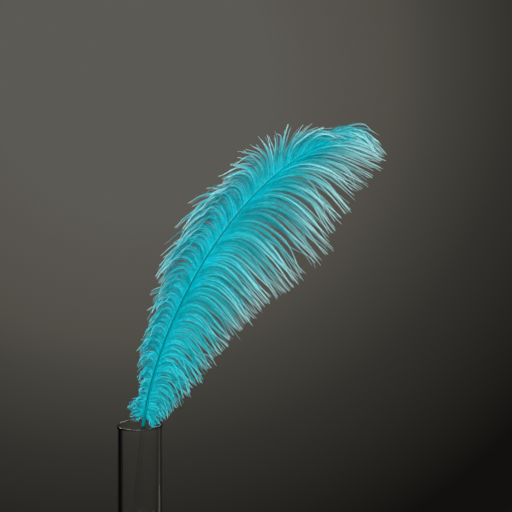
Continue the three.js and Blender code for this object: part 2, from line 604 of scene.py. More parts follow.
RIGHT_HABITS = (
    BarbHabit(0.02, 17 * MM, 118, 148, 0.34, 0.14),
    BarbHabit(0.035, 21 * MM, 94, 140, 0.32, 0.13),
    BarbHabit(0.06, 29 * MM, 58, 138, 0.30, 0.12),
    BarbHabit(0.12, 47 * MM, 34, 126, 0.28, 0.10),
    BarbHabit(0.20, 61 * MM, 28, 121, 0.24, 0.10),
    BarbHabit(0.36, 84 * MM, 22, 112, 0.25, 0.11),
    BarbHabit(0.56, 105 * MM, 28, 105, 0.22, 0.10),
    BarbHabit(0.70, 116 * MM, 17, 94, 0.32, 0.13),
    BarbHabit(0.80, 99 * MM, 12, 77, 0.37, 0.14),
    BarbHabit(0.88, 89 * MM, 8, 58, 0.40, 0.15),
    BarbHabit(0.94, 58 * MM, 7, 56, 0.42, 0.16),
    BarbHabit(1.00, 47 * MM, 6, 70, 0.45, 0.16),
)


# Columns of each barb's own habit.
LENGTH, START, END, MIDDLE = range(4)


@dataclass
class BarbField:
    """The middle lines of all barbs on one side of the shaft.

    Barbs cling to their neighbours in small locks, which end in a point, and the locks lean
    together in loose sheaves, which leave the gaps along the vane's edge. Shares are of the
    barb's own length, or of the shaft's length above the mouth where the comment says so.
    """

    line: ShaftLine
    hand: Hand
    habits: tuple[BarbHabit, ...]
    seed: int
    # How far the barbs stray from their habits, and how much they pale, partly as painted light at
    # their tips.
    ragged: float
    pale: float
    # How many barbs there are, and where on the shaft they start and crowd.
    barbs: int = 400
    first: float = 0.02
    crowding: float = 1.25
    jitter: float = 0.6
    joints: int = 22
    # How deep in the shaft the roots sit, as a share of its radius.
    seat: float = 0.85
    # The barbs lie at many depths, less deep to the front, and their tips curl to the front.
    layer_depth: float = 0.2
    layer_curve: float = 0.9
    layer_mix: tuple[float, float, float] = (0.5, 0.35, 0.25)
    front_share: float = 0.45
    cup: float = 0.13
    cup_curve: float = 1.6
    # Barbs in a lock and locks in a sheaf: the least and the most.
    lock_sizes: tuple[int, int] = (1, 3)
    sheaf_sizes: tuple[int, int] = (1, 5)
    lock_loose: float = 0.5
    sheaf_loose: float = 0.4
    # From where on, and how closely, locks lean into their sheaf and barbs into their lock.
    lean_from: float = 0.5
    lean: float = 0.2
    cling_from: float = 0.62
    bound: tuple[float, float] = (0.5, 1.0)
    # Some barbs stray from their lock, and some locks bend less, both in degrees.
    stray_share: float = 0.05
    stray_swing: float = 7
    stray_cling: float = 0.1
    flick_share: float = 0.16
    flick: tuple[float, float] = (-34, -14)
    # Swings of start, end and middle by column, for single barbs; lengths are uneven too.
    swings: tuple[tuple[int, float], ...] = ((START, 1.4), (END, 6.0), (MIDDLE, 0.014))
    uneven_length: float = 0.055
    # Slow waves along the shaft in length, as a share, and in start and end, in degrees.
    waves: int = 26
    length_wave: float = 0.045
    start_wave: float = 1.0
    end_wave: float = 2.4
    # Down near the mouth is looser, its lowest tuft the most. Ends are shares of the shaft.
    down: float = 1.4
    down_from: float = 0.05
    down_ends: float = 0.4
    tuft: float = 2.2
    tuft_ends: float = 0.08
    # Towards the shaft's tip the barbs part and hang singly, from this share of the shaft.
    airy_from: float = 0.8
    airy_blend: float = 0.2
    airy_loose: float = 0.4
    airy_uneven: float = 0.6
    airy_freedom: float = 0.7
    # Each barb snakes a little along X, Y and Z, with its own number of turns.
    snaking: tuple[float, float, float] = (0.8 * MM, 1.4 * MM, 0.8 * MM)
    snaking_turns: tuple[float, float] = (0.6, 1.8)
    # The lowest barbs rest on the rim or hang into the mouth.
    rim_gap: float = 0.6 * MM
    rim_hang: float = 6 * MM
    rim_inside: float = 22 * MM
    rim_blend: float = 5 * MM
    rim_soft: float = 1 * MM
    # Light and dark barbs: by lock, by barb, and more so and darker in the down.
    lock_tone: float = 0.1
    own_tone: float = 0.3
    down_tone: float = 0.6
    down_dark: float = 0.15
    # How soon the barbs pale by place on the shaft, from where on a barb, and more at its tip; the
    # paling is partly painted light.
    fading: tuple[tuple[float, float], ...] = (
        (0.0, 0.15), (0.2, 0.32), (0.45, 0.95), (0.75, 1.4), (1.0, 1.6),
    )
    fade_from: float = 0.08
    tone_fade: float = 0.35
    tone_fade_over: tuple[float, float] = (0.05, 0.3)
    tip_fade: float = 0.35
    tip_fade_from: float = 0.8

    def __post_init__(self) -> None:
        """Draws where the barbs grow, closer near the mouth, and which of them hold together."""
        self._rng = np.random.default_rng(self.seed)
        stray = self._rng.uniform(-self.jitter, self.jitter, self.barbs)
        even = np.sort((np.arange(self.barbs) + stray) / self.barbs)
        self._share = self.first + (1 - self.first) * np.clip(even, 0.0, 1.0) ** self.crowding
        self._lock = self._grouped(self.barbs, self.lock_sizes)
        self._sheaf = self._grouped(self._lock[-1] + 1, self.sheaf_sizes)
        self._t = np.linspace(0, 1, self.joints)

    def _grouped(self, count: int, sizes: tuple[int, int]) -> Array:
        """Numbers count neighbours in groups of random size.

        Args:
            count: how many there are.
            sizes: the least and the most in a group.

        Returns:
            The group number of each.
        """
        group = np.zeros(count, int)
        first = 0
        number = 0
        while first < count:
            size = int(self._rng.integers(sizes[0], sizes[1] + 1))
            group[first:first + size] = number
            first += size
            number += 1
        return group

    def _waved(self) -> Array:
        """Gives each barb its habit, with slow waves that whole sheaves of barbs share.

        Returns:
            A row for each barb: length, start, end, middle and spread.
        """
        table = np.array([astuple(habit) for habit in self.habits]).T
        habit = np.stack([np.interp(self._share, table[0], column) for column in table[1:]], 1)
        knots = np.linspace(0, 1, self.waves)
        length, start, end = (
            np.interp(self._share, knots, self._rng.normal(0, swing * self.ragged, self.waves))
            for swing in (self.length_wave, self.start_wave, self.end_wave)
        )
        habit[:, LENGTH] *= 1 + length
        habit[:, START] += start
        habit[:, END] += end
        return habit

    def _bend_locks(self, habit: Array) -> None:
        """Lets some locks end at another angle, the fewer the nearer the shaft's tip.

        Args:
            habit: each barb's habit, which is changed.
        """
        locks = self._lock[-1] + 1
        chosen = self._rng.random(locks) < self.flick_share
        flicks = (chosen * self._rng.uniform(*self.flick, locks))[self._lock]
        habit[:, END] += flicks * (1 - smooth_step(self.airy_from, 1.0, self._share))

    def _loosened(self, share: Array, habit: Array, loose: float) -> Array:
        """Lets length, start, end and middle stray at random, most in the down near the mouth.

        Args:
            share: places along the shaft.
            habit: the habit at each of them.
            loose: how far the habit strays, 1 for a free barb.

        Returns:
            The loosened habit.
        """
        free = habit.copy()
        downy = loose * (1 + self.down * (1 - smooth_step(0.0, self.down_ends, share)))
        tufted = loose * self.tuft * (1 - smooth_step(0.0, self.tuft_ends, share))
        tufted += self.airy_loose * loose * smooth_step(self.airy_from, 1.0, share)
        for column, swing in self.swings:
            free[:, column] += (downy + tufted) * self._rng.normal(0, swing, len(habit))
        parting = smooth_step(self.airy_from - self.airy_blend, self.airy_from, share)
        uneven = downy + self.airy_uneven * loose * parting
        free[:, LENGTH] *= 1 + uneven * self._rng.normal(0, self.uneven_length, len(habit))
        return free

    def _swept(self, share: Array, habit: Array) -> Array:
        """Draws the middle lines of barbs that follow their habit.

        Args:
            share: each barb's place along the shaft.
            habit: each barb's length, start, end, middle and spread.

        Returns:
            An array of barbs, joints and coordinates.
        """
        t = (np.arange(self.joints - 1) + 0.5) / (self.joints - 1)
        length, start, end, middle, spread = (column[:, None] for column in habit.T)
        rise = 1 / (1 + np.exp((middle - t) / spread))
        low = 1 / (1 + np.exp(middle / spread))
        high = 1 / (1 + np.exp((middle - 1) / spread))
        bend = start + (end - start) * (rise - low) / (high - low)
        along = self.line.along(share)
        heading = np.arctan2(along[:, 2], along[:, 0])[:, None]
        angle = heading - self.hand.value * np.radians(bend)
        step = length / (self.joints - 1)
        side = np.stack([np.sin(heading[:, 0]), np.zeros(len(share)), -np.cos(heading[:, 0])], 1)
        root = self.line.centre(share)
        root = root + self.hand.value * self.seat * self.line.radius(share)[:, None] * side
        moves = np.stack([np.cos(angle) * step, np.zeros_like(angle), np.sin(angle) * step], 2)
        path = np.concatenate([np.zeros((len(share), 1, 3)), np.cumsum(moves, 1)], 1)
        return root[:, None, :] + path

    def _clung(self, habit: Array) -> tuple[Array, Array]:
        """Sweeps the barbs and draws neighbours together towards their tips.

        Args:
            habit: each barb's habit.

        Returns:
            The barbs' lines, and their lengths as a column.
        """
        locks = self._lock[-1] + 1
        sheaves = self._sheaf[-1] + 1
        lock_habit = np.array([habit[self._lock == n].mean(0) for n in range(locks)])
        lock_share = np.array([self._share[self._lock == n].mean() for n in range(locks)])
        sheaf_habit = np.array([lock_habit[self._sheaf == n].mean(0) for n in range(sheaves)])
        sheaf_share = np.array([lock_share[self._sheaf == n].mean() for n in range(sheaves)])
        sheaf_free = self._loosened(sheaf_share, sheaf_habit, self.sheaf_loose * self.ragged)
        sheaf_path = self._swept(sheaf_share, sheaf_free)
        lock_free = self._loosened(lock_share, lock_habit, self.lock_loose * self.ragged)
        lock_path = self._swept(lock_share, lock_free)
        stray = self._rng.random(self.barbs) < self.stray_share
        habit = self._loosened(self._share, habit, self.ragged)
        habit[stray, END] += np.abs(self._rng.normal(0, self.stray_swing, stray.sum()))
        path = self._swept(self._share, habit)
        drawn = self._rng.uniform(0.0, self.lean * self.ragged, sheaves)[self._sheaf][:, None]
        lean = smooth_step(self.lean_from, 1.0, self._t) * drawn
        lock_path += (sheaf_path[self._sheaf] - lock_path) * lean[:, :, None]
        bound = self._rng.uniform(*self.bound, locks)[self._lock]
        bound = bound * (1 - self.airy_freedom * smooth_step(self.airy_from, 1.0, self._share))
        cling = smooth_step(self.cling_from, 1.0, self._t) * bound[:, None]
        cling[stray] *= self.stray_cling
        path += (lock_path[self._lock] - path) * cling[:, :, None]
        return path, habit[:, :1]

    def _layers(self) -> Array:
        """Draws how deep each barb lies among the others, by sheaf, lock and barb.

        Returns:
            A column with a number for each barb, above 0 behind the shaft and below it in front.
        """
        by_sheaf, by_lock, by_barb = self.layer_mix
        layer = by_sheaf * self._rng.uniform(-1, 1, self._sheaf[-1] + 1)[self._sheaf]
        layer = (layer + by_lock * self._rng.uniform(-1, 1, self._lock[-1] + 1))[self._lock]
        layer = layer[:, None] + self._rng.normal(0, by_barb, self.barbs)[:, None]
        return np.where(layer < 0, self.front_share * layer, layer)

    def _above_rim(self, path: Array) -> Array:
        """Lifts what would sink into the vase's rim, so that it rests on it.

        Args:
            path: the barbs' lines.

        Returns:
            The height of each joint.
        """
        out = np.hypot(path[:, :, 0], path[:, :, 1])
        inside = 1 - smooth_step(self.rim_inside - self.rim_blend, self.rim_inside, out)
        rest = self.line.mouth[2] + self.rim_gap - self.rim_hang * inside
        return rest + self.rim_soft * np.logaddexp(0.0, (path[:, :, 2] - rest) / self.rim_soft)

    def _tones(self) -> Array:
        """Draws how light each barb is. Neighbours differ, so that strands show.

        Returns:
            A number from 0 to 1 for each barb.
        """
        low = 1 - smooth_step(0.0, self.down_ends, self._share)
        own = self._rng.normal(0, 1, self.barbs)
        own -= (np.roll(own, 1) + np.roll(own, -1)) / 2
        by_lock = self._rng.normal(0, 1, self._lock[-1] + 1)[self._lock]
        tone = self.lock_tone * by_lock + self.own_tone * own
        return np.clip(0.5 + (1 + self.down_tone * low) * tone - self.down_dark * low, 0, 1)

    def _fades(self, tone: Array) -> Array:
        """Finds how far each barb has paled, partly as painted light, more towards the tips and in
        light barbs.

        Args:
            tone: how light each barb is.

        Returns:
            A number from 0 to 1 for each joint of each barb.
        """
        paling = self.pale * np.interp(self._share, *np.array(self.fading).T)[:, None]
        drift = self.tone_fade * (tone - 0.5)[:, None] * smooth_step(*self.tone_fade_over, self._t)
        tips = self.tip_fade * smooth_step(self.tip_fade_from, 1.0, self._t)
        return np.clip((self._t - self.fade_from) * paling + drift + tips, 0, 1)

    def build(self) -> dict[str, Array]:
        """Grows the barbs from their habits.

        Returns:
            points (barbs, joints, 3), share and tone (a value for each barb), along (a value
            for each joint), and fade and down (a value for each joint of each barb).
        """
        t = self._t
        habit = self._waved()
        self._bend_locks(habit)
        path, length = self._clung(habit)
        behind = self.layer_depth * self._layers() * t ** self.layer_curve
        path[:, :, 1] += length * (behind - self.cup * t ** self.cup_curve)
        for axis, swing in enumerate(self.snaking):
            turns = self._rng.uniform(*self.snaking_turns, self.barbs)[:, None]
            phase = self._rng.random(self.barbs)[:, None]
            path[:, :, axis] += swing * t * np.sin(2 * math.pi * (turns * t + phase))
        path[:, :, 2] = self._above_rim(path)
        tone = self._tones()
        down = 1 - smooth_step(self.down_from, self.down_ends, self._share)
        return {
            "points": path, "share": self._share, "tone": tone, "along": t,
            "fade": self._fades(tone), "down": np.repeat(down[:, None], self.joints, 1),
        }


@dataclass(frozen=True)
class FibreSizes:
    """Sizes of the fibres in one piece of a vane. They are also inputs of the node tree.

    Real barbules are about 0.02 mm wide and ten times as many, too fine to show from here, so
    they are drawn coarser. Leans are angles from the barb in radians.
    """

    root_radius: float = 0.26 * MM
    tip_radius: float = 0.18 * MM
    spacing: float = 0.25 * MM
    root_length: float = 5.0 * MM
    tip_length: float = 1.65 * MM
    down_length: float = 3.2 * MM
    root_lean: float = 0.75
    tip_lean: float = 0.4
    width: float = 0.15 * MM
    thickness: float = 0.05 * MM


@dataclass
class FibreTree:
    """The node tree that dresses barb lines with their own shafts and their barbules.

    Barbules leave the barb on its two sides, scattered by some radians about them. They shorten
    and close up towards the barb's tip, and its root is nearly bare. Pairs of numbers are the
    least and the most, or the places along the barb between which a change is made.
    """

    highlit_ramus_material: bpy.types.Material
    barbule_material: bpy.types.Material
    spike: bpy.types.Object
    shaft_sides: int = 3
    side_scatter: float = 0.95
    lean_variety: tuple[float, float] = (0.7, 1.35)
    length_variety: tuple[float, float] = (0.6, 1.2)
    length_seed: int = 7
    shortens: tuple[float, float] = (0.28, 0.97)
    down_shortens: tuple[float, float] = (0.3, 0.9)
    closes: tuple[float, float] = (0.72, 1.0)
    closed_length: float = 0.3
    bare_until: float = 0.05
    bare_length: float = 0.3
    tree: bpy.types.GeometryNodeTree = field(init=False)

    def __post_init__(self) -> None:
        """Starts the tree with its inputs, the barb lines and the places along them."""
        self.tree = bpy.data.node_groups.new("barb_fibres", "GeometryNodeTree")
        sizes = {size.name: "NodeSocketFloat" for size in fields(FibreSizes)}
        inputs = {"Geometry": "NodeSocketGeometry", **sizes, "seed": "NodeSocketInt"}
        for name, kind in inputs.items():
            self.tree.interface.new_socket(name, in_out="INPUT", socket_type=kind)
        self.tree.interface.new_socket("Geometry", in_out="OUTPUT", socket_type="NodeSocketGeometry")
        self._given = add_node(self.tree, "NodeGroupInput").outputs
        self._lines = add_node(self.tree, "GeometryNodeMeshToCurve",
                               links={"Mesh": self._given["Geometry"]}).outputs["Curve"]
        self._along, self._down = (
            add_node(self.tree, "GeometryNodeInputNamedAttribute", {"data_type": "FLOAT"},
                     values={"Name": name}).outputs["Attribute"]
            for name in ("along", "down")
        )

    def build(self) -> bpy.types.GeometryNodeTree:
        """Joins the barbs' own shafts and their barbules.

        Returns:
            The tree, whose inputs are the fibres' sizes and a seed.
        """
        join = add_node(self.tree, "GeometryNodeJoinGeometry")
        for part in (self._shafts(), self._barbules()):
            self.tree.links.new(part, join.inputs[0])
        add_node(self.tree, "NodeGroupOutput", links={"Geometry": join.outputs["Geometry"]})
        return self.tree

    def _shafts(self) -> bpy.types.NodeSocket:
        """Adds the nodes for the barbs' own tapering shafts.

        Returns:
            The socket that gives the shafts' mesh.
        """
        tree = self.tree
        girth = add_node(tree, "ShaderNodeMapRange", links={
            "Value": self._along, "To Min": self._given["root_radius"],
            "To Max": self._given["tip_radius"],
        })
        profile = add_node(tree, "GeometryNodeCurvePrimitiveCircle",
                           values={"Resolution": self.shaft_sides, "Radius": 1.0})
        skin = add_node(tree, "GeometryNodeCurveToMesh", values={"Fill Caps": True}, links={
            "Curve": self._lines, "Profile Curve": profile.outputs["Curve"],
            "Scale": girth.outputs["Result"],
        })
        smooth = add_node(tree, "GeometryNodeSetShadeSmooth", links={"Geometry": skin.outputs["Mesh"]})
        # The barb shafts' finish paints a highlight into their paler colours.
        dressed = add_node(tree, "GeometryNodeSetMaterial", values={"Material": self.highlit_ramus_material},
                           links={"Geometry": smooth.outputs["Geometry"]})
        return dressed.outputs["Geometry"]

    def _barbules(self) -> bpy.types.NodeSocket:
        """Adds the nodes for the barbules, which leave each barb on its two sides.

        Returns:
            The socket that gives the barbules' mesh.
        """
        tree = self.tree
        spaced = add_node(tree, "GeometryNodeResampleCurve", {"mode": "LENGTH"}, links={
            "Curve": self._lines, "Length": self._given["spacing"],
        })
        size = add_node(tree, "ShaderNodeCombineXYZ", links={
            "X": self._given["width"], "Y": self._given["thickness"], "Z": self._length(),
        })
        shape = add_node(tree, "GeometryNodeObjectInfo", values={"Object": self.spike})
        placed = add_node(tree, "GeometryNodeInstanceOnPoints", links={
            "Points": spaced.outputs["Curve"], "Instance": shape.outputs["Geometry"],
            "Rotation": self._rotation(), "Scale": size.outputs[0],
        })
        real = add_node(tree, "GeometryNodeRealizeInstances",
                        links={"Geometry": placed.outputs["Instances"]})
        dressed = add_node(tree, "GeometryNodeSetMaterial", values={"Material": self.barbule_material},
                           links={"Geometry": real.outputs["Geometry"]})
        return dressed.outputs["Geometry"]

    def _rotation(self) -> bpy.types.NodeSocket:
        """Adds the nodes that turn a barbule to one side of its barb and lean it forwards.

        Returns:
            The socket that gives the rotation.
        """
        tree = self.tree
        tangent = add_node(tree, "GeometryNodeInputTangent")
        forward = add_node(tree, "FunctionNodeAlignRotationToVector", {"axis": "Z"},
                           links={"Vector": tangent.outputs["Tangent"]})
        faced = add_node(tree, "FunctionNodeAlignRotationToVector", {"axis": "X", "pivot_axis": "Z"},
                         values={"Vector": (0.0, -1.0, 0.0)},
                         links={"Rotation": forward.outputs["Rotation"]})
        index = add_node(tree, "GeometryNodeInputIndex")
        parity = add_node(tree, "ShaderNodeMath", {"operation": "MODULO"}, values={1: 2.0},
                          links={0: index.outputs["Index"]})
        scatter, vary = (
            add_node(tree, "FunctionNodeRandomValue", {"data_type": "FLOAT"},
                     values={2: least, 3: most}, links={"Seed": self._given["seed"]}).outputs[1]
            for least, most in ((-self.side_scatter, self.side_scatter), self.lean_variety)
        )
        roll = add_node(tree, "ShaderNodeMath", {"operation": "MULTIPLY_ADD"}, values={1: math.pi},
                        links={0: parity.outputs[0], 2: scatter})
        side = add_node(tree, "ShaderNodeMath", {"operation": "ADD"}, values={1: math.pi / 2},
                        links={0: roll.outputs[0]})
        lean = add_node(tree, "ShaderNodeMapRange", links={
            "Value": self._along, "To Min": self._given["root_lean"],
            "To Max": self._given["tip_lean"],
        })
        leaned = add_node(tree, "ShaderNodeMath", {"operation": "MULTIPLY"},
                          links={0: lean.outputs["Result"], 1: vary})
        rotation = faced.outputs["Rotation"]
        for axis, angle in (("Z", side.outputs[0]), ("Y", leaned.outputs[0])):
            turned = add_node(tree, "ShaderNodeCombineXYZ", links={axis: angle})
            by = add_node(tree, "FunctionNodeEulerToRotation", links={"Euler": turned.outputs[0]})
            rotated = add_node(tree, "FunctionNodeRotateRotation", {"rotation_space": "LOCAL"},
                               links={"Rotation": rotation, "Rotate By": by.outputs[0]})
            rotation = rotated.outputs["Rotation"]
        return rotation

    def _length(self) -> bpy.types.NodeSocket:
        """Adds the nodes that shorten the barbules towards the barb's tip and at its bare root.

        Returns:
            The socket that gives the length.
        """
        tree = self.tree
        reach, downy = (
            add_node(tree, "ShaderNodeMapRange", {"interpolation_type": kind}, values={
                "From Min": low, "From Max": high,
            }, links={
                "Value": self._along, "To Min": self._given[root], "To Max": self._given["tip_length"],
            }).outputs["Result"]
            for kind, (low, high), root in (
                ("SMOOTHSTEP", self.shortens, "root_length"),
                ("LINEAR", self.down_shortens, "down_length"),
            )
        )
        length = add_node(tree, "ShaderNodeMix", {"data_type": "FLOAT"},
                          links={"Factor": self._down, 2: reach, 3: downy}).outputs[0]
        closing = add_node(tree, "ShaderNodeMapRange", values={
            "From Min": self.closes[0], "From Max": self.closes[1],
            "To Min": 1.0, "To Max": self.closed_length,
        }, links={"Value": self._along})
        bared = add_node(tree, "ShaderNodeMapRange",
                         values={"From Max": self.bare_until, "To Min": self.bare_length},
                         links={"Value": self._along})
        uneven = add_node(tree, "FunctionNodeRandomValue", {"data_type": "FLOAT"}, values={
            2: self.length_variety[0], 3: self.length_variety[1], "Seed": self.length_seed,
        })
        for factor in (closing.outputs["Result"], bared.outputs["Result"], uneven.outputs[1]):
            length = add_node(tree, "ShaderNodeMath", {"operation": "MULTIPLY"},
                              links={0: length, 1: factor}).outputs[0]
        return length


@dataclass
class Vane:
    """The barbs on one side of the shaft, made as a few pieces of dense fibre mesh."""

    field_of_barbs: BarbField
    tree: bpy.types.GeometryNodeTree
    name: str
    cuts: tuple[float, ...]
    sizes: FibreSizes = FibreSizes()
    seeds_apart: int = 10

    def build(self) -> list[bpy.types.Object]:
        """Builds the pieces from the mouth upwards.

        Returns:
            Their objects.
        """
        grown = self.field_of_barbs.build()
        pieces = []
        for number, (low, high) in enumerate(zip(self.cuts[:-1], self.cuts[1:])):
            chosen = (grown["share"] >= low) & (grown["share"] < high)
            pieces.append(self._piece(f"{self.name}_{number + 1}", grown, chosen, number))
        return pieces

    def _piece(self, name: str, grown: dict[str, Array], chosen: Array,
               number: int) -> bpy.types.Object:
        """Dresses the chosen barb lines with fibres and keeps the result as a plain mesh.

        Args:
            name: the piece's name.
            grown: what BarbField.build gave.
            chosen: which barbs belong to the piece.
            number: the piece's place along the shaft, used in its seed.

        Returns:
            The piece's object.
        """
        lines = grown["points"][chosen]
        barbs, joints, _ = lines.shape
        start = np.arange(barbs)[:, None] * joints + np.arange(joints - 1)[None, :]
        edges = np.stack([start, start + 1], 2).reshape(-1, 2)
        mesh = bpy.data.meshes.new(name + "_lines")
        mesh.from_pydata(lines.reshape(-1, 3).tolist(), edges.tolist(), [])
        for label, values in (
            ("along", np.tile(grown["along"], barbs)),
            ("tone", np.repeat(grown["tone"][chosen], joints)),
            ("rank", np.repeat(np.arange(barbs), joints)),
            ("fade", grown["fade"][chosen].ravel()),
            ("down", grown["down"][chosen].ravel()),
        ):
            layer = mesh.attributes.new(label, "FLOAT", "POINT")
            layer.data.foreach_set("value", values.astype(np.float32))
        carrier = link_object(name + "_lines", mesh)
        modifier = carrier.modifiers.new("fibres", "NODES")
        modifier.node_group = self.tree
        wanted = asdict(self.sizes)
        wanted["seed"] = self.field_of_barbs.seed * self.seeds_apart + number
        for item in self.tree.interface.items_tree:
            if item.in_out == "INPUT" and item.name in wanted:
                modifier[item.identifier] = wanted[item.name]
        evaluated = carrier.evaluated_get(bpy.context.evaluated_depsgraph_get())
        fibres = bpy.data.meshes.new_from_object(evaluated)
        fibres.name = name
        self._lay_out(fibres, barbs)
        bpy.data.objects.remove(carrier)
        return link_object(name, fibres)

    @staticmethod
    def _lay_out(fibres: bpy.types.Mesh, barbs: int) -> None:
        """Lays the fibres out flat for baking: a row for each barb, from its root to its tip.

        A barb's own shaft has the lower half of its row and its barbules the upper half. Fibres
        that share a place there share a colour too.

        Args:
            fibres: the mesh of one piece.
            barbs: how many barbs it has.
        """
        faces = len(fibres.polygons)
        first, corners, dress = (np.empty(faces, np.int32) for _ in range(3))
        fibres.polygons.foreach_get("loop_start", first)
        fibres.polygons.foreach_get("loop_total", corners)
        fibres.polygons.foreach_get("material_index", dress)
        point = np.empty(len(fibres.loops), np.int32)
        fibres.loops.foreach_get("vertex_index", point)
        corner = np.arange(len(point)) - np.repeat(first, corners)
        middle = {}
        for label in ("along", "rank"):
            values = np.empty(len(fibres.vertices), np.float32)
            fibres.attributes[label].data.foreach_get("value", values)
            middle[label] = np.repeat(np.add.reduceat(values[point], first) / corners, corners)
        barbule = np.repeat(dress == fibres.materials.find(BARBULE_FINISH.name), corners)
        beside = (corner == 1) | ((corner == 2) & (np.repeat(corners, corners) == 4))
        margin, reach, spot = 0.01, 0.97, 0.004
        row_margin, half_row, face_height = 0.05, 0.5, 0.4
        across = margin + reach * middle["along"] + spot * beside
        up = (middle["rank"] + row_margin + half_row * barbule + face_height * (corner >= 2)) / barbs
        layer = fibres.uv_layers.new(name="OFBake")
        layer.uv.foreach_set("vector", np.stack([across, up], 1).astype(np.float32).ravel())


# ---------------------------------------------------------------- the vase


@dataclass
class GlassVase:
    """The cylinder vase: one smooth turned body of glass on a thick base.

    The rings that only keep faces short lie at shares of the radius under the foot and on the
    floor, at shares of the height on the wall, and at shares of the bore's straight part.
    """

    height: float = 150 * MM
    radius: float = 25 * MM
    lip_flare: float = 0.9 * MM
    lip_height: float = 4 * MM
    lip_edge: float = 1.1 * MM
    wall_top: float = 3.2 * MM
    wall_low: float = 4.2 * MM
    base: float = 12 * MM
    foot_rounding: float = 2.5 * MM
    floor_rounding: float = 9 * MM
    sides: int = 144
    arc_steps: int = 9
    foot_ring: float = 0.5
    floor_ring: float = 0.3
    finish: ClearGlass = ClearGlass()
    wall_rings: tuple[float, ...] = (0.2, 0.5, 0.8)
    bore_rings: tuple[float, ...] = (1.0, 0.75, 0.5, 0.25)

    def _arc(self, centre: Corner, radius: float, start: float, end: float) -> list[Corner]:
        """Points of an arc in the outline, angles in degrees."""
        angles = np.radians(np.linspace(start, end, self.arc_steps))
        return [(centre[0] + radius * math.cos(a), centre[1] + radius * math.sin(a)) for a in angles]

    def _bend(self, a: Corner, pull: Corner, b: Corner) -> list[Corner]:
        """Points of a quadratic curve in the outline, without its ends."""
        shares = np.linspace(0, 1, self.arc_steps)[1:-1]
        return [tuple((1 - s) ** 2 * np.array(a) + 2 * s * (1 - s) * np.array(pull)
                      + s * s * np.array(b)) for s in shares]

    def _outline(self) -> list[Corner]:
        """Lists the half section from the underside outwards, up and down into the bore.

        Returns:
            Its corners as radius and height.
        """
        lip_radius = self.radius + self.lip_flare
        edge = self.lip_edge
        lip_bottom = self.height - self.lip_height
        wall_top = lip_bottom - self.lip_height
        bore_top = self.radius - self.wall_top
        bore_low = self.radius - self.wall_low
        foot = self.foot_rounding
        floor = self.floor_rounding
        outer_end = (lip_radius, self.height - edge)
        inner_start = (lip_radius - self.wall_top, self.height - edge)
        points = [(self.radius * self.foot_ring, 0.0)]
        points += self._arc((self.radius - foot, foot), foot, -90, 0)
        points += [(self.radius, self.height * share) for share in self.wall_rings]
        points.append((self.radius, wall_top))
        points += self._bend((self.radius, wall_top), (self.radius, lip_bottom), outer_end)
        points += self._arc((lip_radius - edge, self.height - edge), edge, 0, 90)
        points += self._arc((inner_start[0] + edge, self.height - edge), edge, 90, 180)
        points += self._bend(inner_start, (bore_top, lip_bottom), (bore_top, wall_top))
        for share in self.bore_rings:
            height = self.base + floor + (wall_top - self.base - floor) * share
            points.append((bore_low + (bore_top - bore_low) * share, height))
        points += self._arc((bore_low - floor, self.base + floor), floor, 0, -90)
        points.append((self.radius * self.floor_ring, self.base))
        return points

    def build(self) -> bpy.types.Object:
        """Turns the outline about the upright axis and dresses it in glass.

        Returns:
            The vase's object.
        """
        vase = new_mesh_object("vase_glass", *turn(self._outline(), self.sides))
        vase.data.materials.append(self.finish.material())
        return vase


# ---------------------------------------------------------------- stage, light and camera


@dataclass(frozen=True)
class Lamp:
    """A soft square lamp: its place, its side, its power in watts and its colour.

    One that isn't mirrored doesn't show in the glass, where it would be a bright square.
    """

    name: str
    place: Place
    side: float
    power: float
    colour: str
    mirrored: bool = True

    def build(self, aim: Place) -> None:
        """Adds the lamp, which the camera doesn't see.

        Args:
            aim: where it points.
        """
        data = bpy.data.lights.new(self.name, "AREA")
        data.size = self.side
        data.energy = self.power
        data.color = linear_colour(self.colour)[:3]
        lamp = link_object(self.name, data)
        lamp.location = self.place
        toward = Vector(aim) - Vector(self.place)
        lamp.rotation_mode = "QUATERNION"
        lamp.rotation_quaternion = toward.to_track_quat("-Z", "Y")
        lamp.visible_camera = False
        lamp.visible_glossy = self.mirrored
        lamp.visible_transmission = self.mirrored


